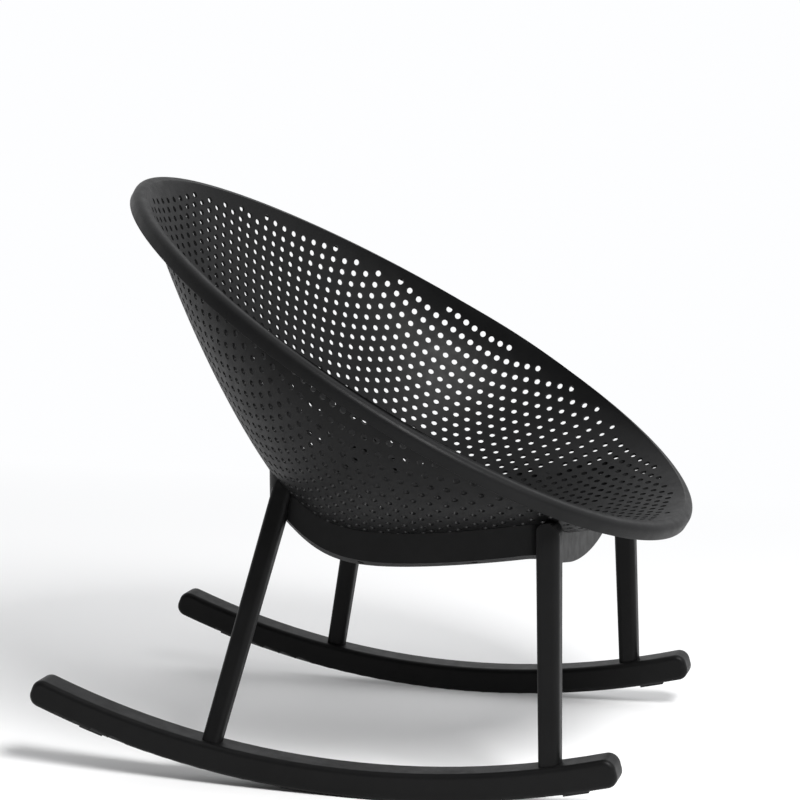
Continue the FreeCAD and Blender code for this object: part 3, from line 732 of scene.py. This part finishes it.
@dataclass
class PerforatedBowl:
    """The one-piece seat: a perforated wall, a rolled lip and bosses for the screws."""

    skin: BowlSkin = field(default_factory=BowlSkin)
    rows: HoleRows = field(default_factory=HoleRows)
    hole_diameter: float = 9.0
    hole_sides: int = 12
    rim_segments: int = 320
    band_level: float = 0.972
    band_gap: float = 0.008
    lip_reach: float = 11.0
    lip_drop: float = 20.0
    lip_wall: float = 3.5
    lip_radius: float = 9.0
    inner_round: float = 3.0
    foot_round: float = 1.2
    foot_bevel: float = 0.3
    boss_radius: float = 6.0
    boss_depth: float = 12.0
    boss_root: float = 0.7
    boss_clearance: float = 12.0
    boss_plan: tuple[tuple[float, float], ...] = ((20.0, 197.1), (180.0, 217.0), (275.0, 90.0), (-108.0, 70.0))
    sharp_angle: float = 40.0
    halvings: int = 30
    map_tolerance: float = 1e-6

    def boss_places(self, chart: FlatMap) -> np.ndarray:
        """Return where the bosses leave the underside of the bowl."""
        plan = np.array([(x, side * y, 0.0) for x, y in self.boss_plan for side in (-1, 1)])
        start = plan[:, :2] - np.array([self.skin.floor_x, 0])
        flat = chart.located(plan, start, 0.0, plan_only=True)
        return chart.wall_point(flat, 0.0)

    def hole_places(self, chart: FlatMap, bosses: np.ndarray) -> tuple[np.ndarray, np.ndarray]:
        """Return the holes on the map, and the bare points between them and the rim.

        Args:
            chart: The wall's flat map.
            bosses: Places that stay closed.

        Returns:
            Map points of the holes and of the bare points.
        """
        level, angle = self.rows.places(self.skin)
        off_middle = np.abs(chart.flat(level, angle)[:, 1]) > 1
        level = np.concatenate([level, level[off_middle]])
        angle = np.concatenate([angle, -angle[off_middle]])
        flat = chart.flat(level, angle)
        middle = chart.wall_point(flat, self.skin.wall / 2)
        gap = np.linalg.norm(middle[:, None] - bosses[None], axis=2).min(1)
        apart = np.linalg.norm(middle[:, None] - middle[None], axis=2)
        crowded = (np.tril(apart < self.rows.least_gap, -1)).any(1)
        below_rim = self.skin.to_rim(level, angle)
        open_hole = (below_rim > self.rows.rim_band) & (gap > self.boss_clearance) & ~crowded
        bare = (below_rim <= self.rows.rim_band) & (level < self.band_level - self.band_gap) & ~crowded
        return flat[open_hole], flat[bare]

    def liners(self, chart: FlatMap, holes: np.ndarray, material: bpy.types.Material) -> np.ndarray:
        """Return the liners' vertices as (hole, inner or outer, side) points in millimetres."""
        middle = chart.wall_point(holes, self.skin.wall / 2)
        along, across = chart.slopes(holes, self.skin.wall / 2)
        axes = unit(np.cross(along, across))
        sizes = {
            "Hole Diameter": self.hole_diameter * MILLIMETRE,
            "Wall Thickness": self.skin.wall * MILLIMETRE,
            "Sides": self.hole_sides,
        }
        mesh = hole_liners(material).made(middle * MILLIMETRE, axes, sizes)
        points = mesh_points(mesh).reshape(len(holes), 2, self.hole_sides, 3) / MILLIMETRE
        bpy.data.meshes.remove(mesh)
        side = ((points.mean(2) - middle[:, None]) * axes[:, None]).sum(-1)
        upper = np.argmax(side, 1)
        index = np.arange(len(holes))
        return np.stack([points[index, upper], points[index, 1 - upper]], 1)

    def lip_rows(self, angles: np.ndarray) -> np.ndarray:
        """Return rows of points over the lip, from the inner wall to the outer wall.

        Args:
            angles: Angles round the bowl.

        Returns:
            Points by row and angle, in millimetres.
        """
        skin = self.skin
        normal = skin.rim_axes[1]
        rim = skin.point(np.ones_like(angles), angles, 0.0)
        outward = unit(np.cross(np.roll(rim, -1, 0) - np.roll(rim, 1, 0), normal))

        def at(reach: float, rise: float) -> np.ndarray:
            return rim + outward * reach + normal * rise

        def outer_wall(depth: float) -> np.ndarray:
            low, high = np.full_like(angles, 0.9), np.ones_like(angles)
            for _ in range(self.halvings):
                half = (low + high) / 2
                above = skin.rise(skin.point(half, angles, 0.0)) > -depth
                high, low = np.where(above, half, high), np.where(above, low, half)
            return skin.point(low, angles, 0.0)

        def inner_wall(level: float) -> np.ndarray:
            return skin.point(np.full_like(angles, level), angles, skin.wall)

        inner_rim = inner_wall(1.0)
        inner_rim -= normal * skin.rise(inner_rim)[:, None]
        below = unit(inner_wall(0.99) - inner_rim) * self.inner_round + inner_rim
        ahead = inner_rim + outward * self.inner_round
        rows = [inner_wall(self.band_level), (inner_wall(self.band_level) + below) / 2]
        for share in np.linspace(0, 1, 5):
            rest = 1 - share
            rows.append(below * rest**2 + inner_rim * 2 * rest * share + ahead * share**2)
        turns = np.linspace(0, math.pi / 2, 9)
        centre = self.lip_reach - self.lip_radius
        for turn in turns:
            rows.append(at(centre + self.lip_radius * math.sin(turn), -self.lip_radius * (1 - math.cos(turn))))
        foot, bevel = self.foot_round, self.foot_round * self.foot_bevel
        inner_reach = self.lip_reach - self.lip_wall
        outer_foot = ((self.lip_reach, foot), (self.lip_reach - bevel, bevel), (self.lip_reach - foot, 0.0))
        inner_foot = ((inner_reach + foot, 0.0), (inner_reach + bevel, bevel), (inner_reach, foot))
        rows += [at(reach, rise - self.lip_drop) for reach, rise in outer_foot + inner_foot]
        hollow = self.lip_radius - self.lip_wall
        for turn in turns[::-2]:
            rows.append(at(centre + hollow * math.sin(turn), -self.lip_radius + hollow * math.cos(turn)))
        rows.append(outer_wall(self.lip_wall))
        rows.append(skin.point(np.full_like(angles, self.band_level), angles, 0.0))
        return np.array(rows)

    def wall_faces(self, flat: np.ndarray, holes: int) -> list[tuple[int, int, int]]:
        """Fill the map between the holes with triangles.

        Args:
            flat: Map points: the holes' rings one after another, then the rest.
            holes: Number of holes.

        Returns:
            Triangles of point numbers, anticlockwise on the map.
        """
        sides = self.hole_sides
        rings = [[hole * sides + k for k in range(sides)] for hole in range(holes)]
        edges = [(ring[k], ring[(k + 1) % sides]) for ring in rings for k in range(sides)]
        corners = [Vector(point) for point in flat]
        found, _, triangles, origin, _, _ = delaunay_2d_cdt(corners, edges, [], 0, self.map_tolerance, True)
        LOG.info("map has %d points, %d in the filling, %d triangles", len(flat), len(found), len(triangles))
        faces = []
        for triangle in triangles:
            a, b, c = (origin[corner][0] for corner in triangle)
            same = a // sides == b // sides == c // sides
            if same and a < holes * sides:
                continue
            ab, ac = flat[b] - flat[a], flat[c] - flat[a]
            faces.append((a, b, c) if ab[0] * ac[1] > ab[1] * ac[0] else (a, c, b))
        return faces

    def map_rings(self, chart: FlatMap, holes: np.ndarray, rings: np.ndarray) -> np.ndarray:
        """Find the liners' rings on the map, and turn round those that run clockwise there.

        Args:
            chart: The wall's flat map.
            holes: Map points of the holes.
            rings: The liners' vertices, which are turned round in place.

        Returns:
            Map points of the rings, one ring after another.
        """
        middle = rings.mean(1).reshape(-1, 3)
        flat = chart.located(middle, np.repeat(holes, self.hole_sides, 0), self.skin.wall / 2)
        flat = flat.reshape(len(holes), self.hole_sides, 2)
        turn = flat - holes[:, None]
        area = turn[:, :, 0] * np.roll(turn[:, :, 1], -1, 1) - turn[:, :, 1] * np.roll(turn[:, :, 0], -1, 1)
        backward = area.sum(1) < 0
        rings[backward] = rings[backward][:, :, ::-1]
        flat[backward] = flat[backward][:, ::-1]
        return flat.reshape(-1, 2)

    def bowl_faces(self, wall: list[tuple[int, int, int]], holes: int, layer: int, rows: int) -> list[tuple[int, ...]]:
        """Return the faces of both skins, the holes' walls and the lip.

        Args:
            wall: Triangles between the holes.
            holes: Number of holes.
            layer: Number of points in a skin; the outer skin's points follow the inner skin's.
            rows: Number of rows over the lip; the first and the last belong to the skins.

        Returns:
            The faces, outward.
        """
        sides, around = self.hole_sides, self.rim_segments
        faces: list[tuple[int, ...]] = list(wall)
        faces += [(layer + a, layer + c, layer + b) for a, b, c in wall]
        for hole in range(holes):
            for k in range(sides):
                here, after = hole * sides + k, hole * sides + (k + 1) % sides
                faces.append((here, after, layer + after, layer + here))
        starts = [layer - around] + [2 * layer + row * around for row in range(rows - 2)] + [2 * layer - around]
        for low, high in zip(starts, starts[1:]):
            for k in range(around):
                after = (k + 1) % around
                faces.append((low + k, high + k, high + after, low + after))
        return faces

    def with_bosses(
        self, bosses: np.ndarray, points: np.ndarray, faces: list[tuple[int, ...]], material: bpy.types.Material
    ) -> np.ndarray:
        """Add the bosses, as closed forms, to the bowl's points and faces.

        Args:
            bosses: Where the bosses leave the bowl's underside.
            points: The bowl's points in millimetres.
            faces: The bowl's faces, which the bosses' faces are added to.
            material: The bowl's finish.

        Returns:
            The bowl's points, then the bosses' points.
        """
        root = self.skin.wall * self.boss_root
        centres = bosses + np.array([0, 0, (root - self.boss_depth) / 2])
        upward = np.tile([0.0, 0.0, 1.0], (len(bosses), 1))
        sizes = {"Boss Radius": self.boss_radius, "Boss Depth": self.boss_depth + root}
        mesh = screw_bosses(material).made(centres, upward, sizes)
        faces += [tuple(len(points) + index for index in polygon.vertices) for polygon in mesh.polygons]
        joined = np.concatenate([points, mesh_points(mesh)])
        bpy.data.meshes.remove(mesh)
        return joined

    def build(self, finishes: Finishes) -> bpy.types.Object:
        """Build the bowl as one piece.

        Args:
            finishes: The chair's finishes.

        Returns:
            The finished piece.
        """
        chart = FlatMap(self.skin)
        bosses = self.boss_places(chart)
        holes, bare = self.hole_places(chart, bosses)
        rings = self.liners(chart, holes, finishes.shell)
        flat_rings = self.map_rings(chart, holes, rings)
        angles = np.arange(self.rim_segments) * 2 * math.pi / self.rim_segments
        lip = self.lip_rows(angles)
        edge = chart.flat(np.full_like(angles, self.band_level), angles)
        flat = np.concatenate([flat_rings, bare, edge])
        inner = np.concatenate([rings[:, 0].reshape(-1, 3), chart.wall_point(bare, self.skin.wall), lip[0]])
        outer = np.concatenate([rings[:, 1].reshape(-1, 3), chart.wall_point(bare, 0.0), lip[-1]])
        wall = self.wall_faces(flat, len(holes))
        faces = self.bowl_faces(wall, len(holes), len(flat), len(lip))
        points = np.concatenate([inner, outer, lip[1:-1].reshape(-1, 3)])
        points = self.with_bosses(bosses, points, faces, finishes.shell)

        piece = add_piece("perforated_bowl", points * MILLIMETRE, faces, finishes.shell, self.sharp_angle)
        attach(piece, BODY)
        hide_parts("seat_shell")
        LOG.info("perforated bowl: %d holes, %d faces", len(holes), len(faces))
        return piece


@dataclass
class UnderFrame:
    """The cradle rails, legs, rockers, stops and fasteners."""

    nodes: dict[Slot, tuple[str, ...]] = field(
        default_factory=lambda: {
            Slot.FRAME: (
                "side_rail_left", "side_rail_right", "front_rail", "rear_rail",
                "front_leg_left", "front_leg_right", "rear_leg_left", "rear_leg_right",
                "rocker_left", "rocker_right",
            ),
            Slot.RUBBER: ("front_stop_left", "front_stop_right", "rear_stop_left", "rear_stop_right"),
            Slot.STEEL: ("shell_screws", "rail_screws", "leg_bolts", "leg_washers", "foot_bolts", "foot_washers"),
            Slot.BRASS: ("leg_inserts", "foot_inserts"),
        }
    )

    def build(self, finishes: Finishes) -> None:
        """Dress every node of the frame.

        Args:
            finishes: The chair's finishes.
        """
        for slot, names in self.nodes.items():
            for name in names:
                dress_node(name, finishes.of_slot(slot))


# The studio


def aimed(place: Place, aim: Place) -> Matrix:
    """Return the placing of an object whose own -Z looks at a point."""
    toward = Vector(aim) - Vector(place)
    return Matrix.Translation(place) @ toward.to_track_quat("-Z", "Y").to_matrix().to_4x4()


@dataclass(frozen=True)
class SoftBox:
    """One square area light that faces a point."""

    name: str
    place: Place
    width: float
    power: float
    aim: Place = (0.0, 0.0, 0.45)

    def build(self) -> None:
        """Add the light to the scene."""
        light = bpy.data.lights.new(self.name, "AREA")
        light.shape = "SQUARE"
        light.size = self.width
        light.energy = self.power
        lamp = bpy.data.objects.new(self.name, light)
        lamp.matrix_world = aimed(self.place, self.aim)
        bpy.context.scene.collection.objects.link(lamp)


@dataclass(frozen=True)
class Studio:
    """Pale floor that turns into a bright backdrop behind the chair, and soft lights."""

    backdrop: Colour = (0.985, 0.99, 1.0)
    dim_side: Colour = (0.12, 0.12, 0.12)
    backdrop_fade: tuple[float, float] = (-0.5, 0.3)
    floor_colour: Colour = (0.9, 0.9, 0.9)
    floor_half: float = 60.0
    floor_fade: tuple[float, float] = (-0.1, 1.9)
    floor_roughness: float = 0.9
    lights: tuple[SoftBox, ...] = (
        SoftBox("key", (1.7, -1.6, 2.9), 1.1, 150),
        SoftBox("side", (3.2, 0.4, 1.6), 1.0, 5),
    )

    def floor_material(self) -> bpy.types.Material:
        """Return the floor's pale matt paint, which is as bright as the backdrop far behind."""
        material, tree, shader = new_material("pale floor")
        split = tree.nodes.new("ShaderNodeSeparateXYZ")
        tree.links.new(object_point(tree), split.inputs["Vector"])
        far = remap(tree, split.outputs["Y"], self.floor_fade, (0, 1))
        tree.links.new(blend(tree, far, self.floor_colour, (0, 0, 0)), shader.inputs["Base Color"])
        tree.links.new(far, shader.inputs["Emission Strength"])
        shader.inputs["Emission Color"].default_value = (*self.backdrop, 1)
        shader.inputs["Roughness"].default_value = self.floor_roughness
        shader.inputs["Specular IOR Level"].default_value = 0.0
        return material

    def add_floor(self) -> None:
        """Add the floor, which belongs to the stage."""
        half = self.floor_half
        corners = [(-half, -half, 0), (half, -half, 0), (half, half, 0), (-half, half, 0)]
        mesh = bpy.data.meshes.new("floor")
        mesh.from_pydata(corners, [], [(0, 1, 2, 3)])
        mesh.materials.append(self.floor_material())
        floor = bpy.data.objects.new("floor", mesh)
        bpy.context.scene.collection.objects.link(floor)

    def add_surroundings(self) -> None:
        """Add the surroundings, bright behind the chair and dim in front of it."""
        world = bpy.data.worlds.new("surroundings")
        world.use_nodes = True
        tree = world.node_tree
        split = tree.nodes.new("ShaderNodeSeparateXYZ")
        tree.links.new(tree.nodes.new("ShaderNodeTexCoord").outputs["Generated"], split.inputs["Vector"])
        share = remap(tree, split.outputs["Y"], self.backdrop_fade, (0, 1))
        tree.links.new(blend(tree, share, self.dim_side, self.backdrop), tree.nodes["Background"].inputs["Color"])
        bpy.context.scene.world = world

    def build(self) -> None:
        """Add the floor, the surroundings and the lights."""
        self.add_floor()
        self.add_surroundings()
        bpy.context.scene.view_settings.view_transform = "Standard"
        for light in self.lights:
            light.build()
        LOG.info("studio: %d lights", len(self.lights))


@dataclass(frozen=True)
class Viewpoint:
    """The camera, at the side and a little above the seat."""

    place: Place = (0.9098, -3.0225, 0.9542)
    aim: Place = (0.04, 0.0, 0.3645)
    focal_length: float = 103.43
    sensor_width: float = 36.0
    shift: tuple[float, float] = (-0.02096, 0.1062)

    def build(self) -> None:
        """Add the camera to the scene."""
        lens = bpy.data.cameras.new("camera")
        lens.lens = self.focal_length
        lens.sensor_fit = "HORIZONTAL"
        lens.sensor_width = self.sensor_width
        lens.shift_x, lens.shift_y = self.shift
        camera = bpy.data.objects.new("camera", lens)
        camera.matrix_world = aimed(self.place, self.aim)
        bpy.context.scene.collection.objects.link(camera)
        bpy.context.scene.camera = camera


def main() -> None:
    """Build the chair and its studio."""
    logging.basicConfig(level=logging.INFO, format="%(name)s: %(message)s")
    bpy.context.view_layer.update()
    finishes = Finishes.made()
    PerforatedBowl().build(finishes)
    UnderFrame().build(finishes)
    Studio().build()
    Viewpoint().build()
    bpy.context.view_layer.update()


if __name__ == "__main__":
    main()
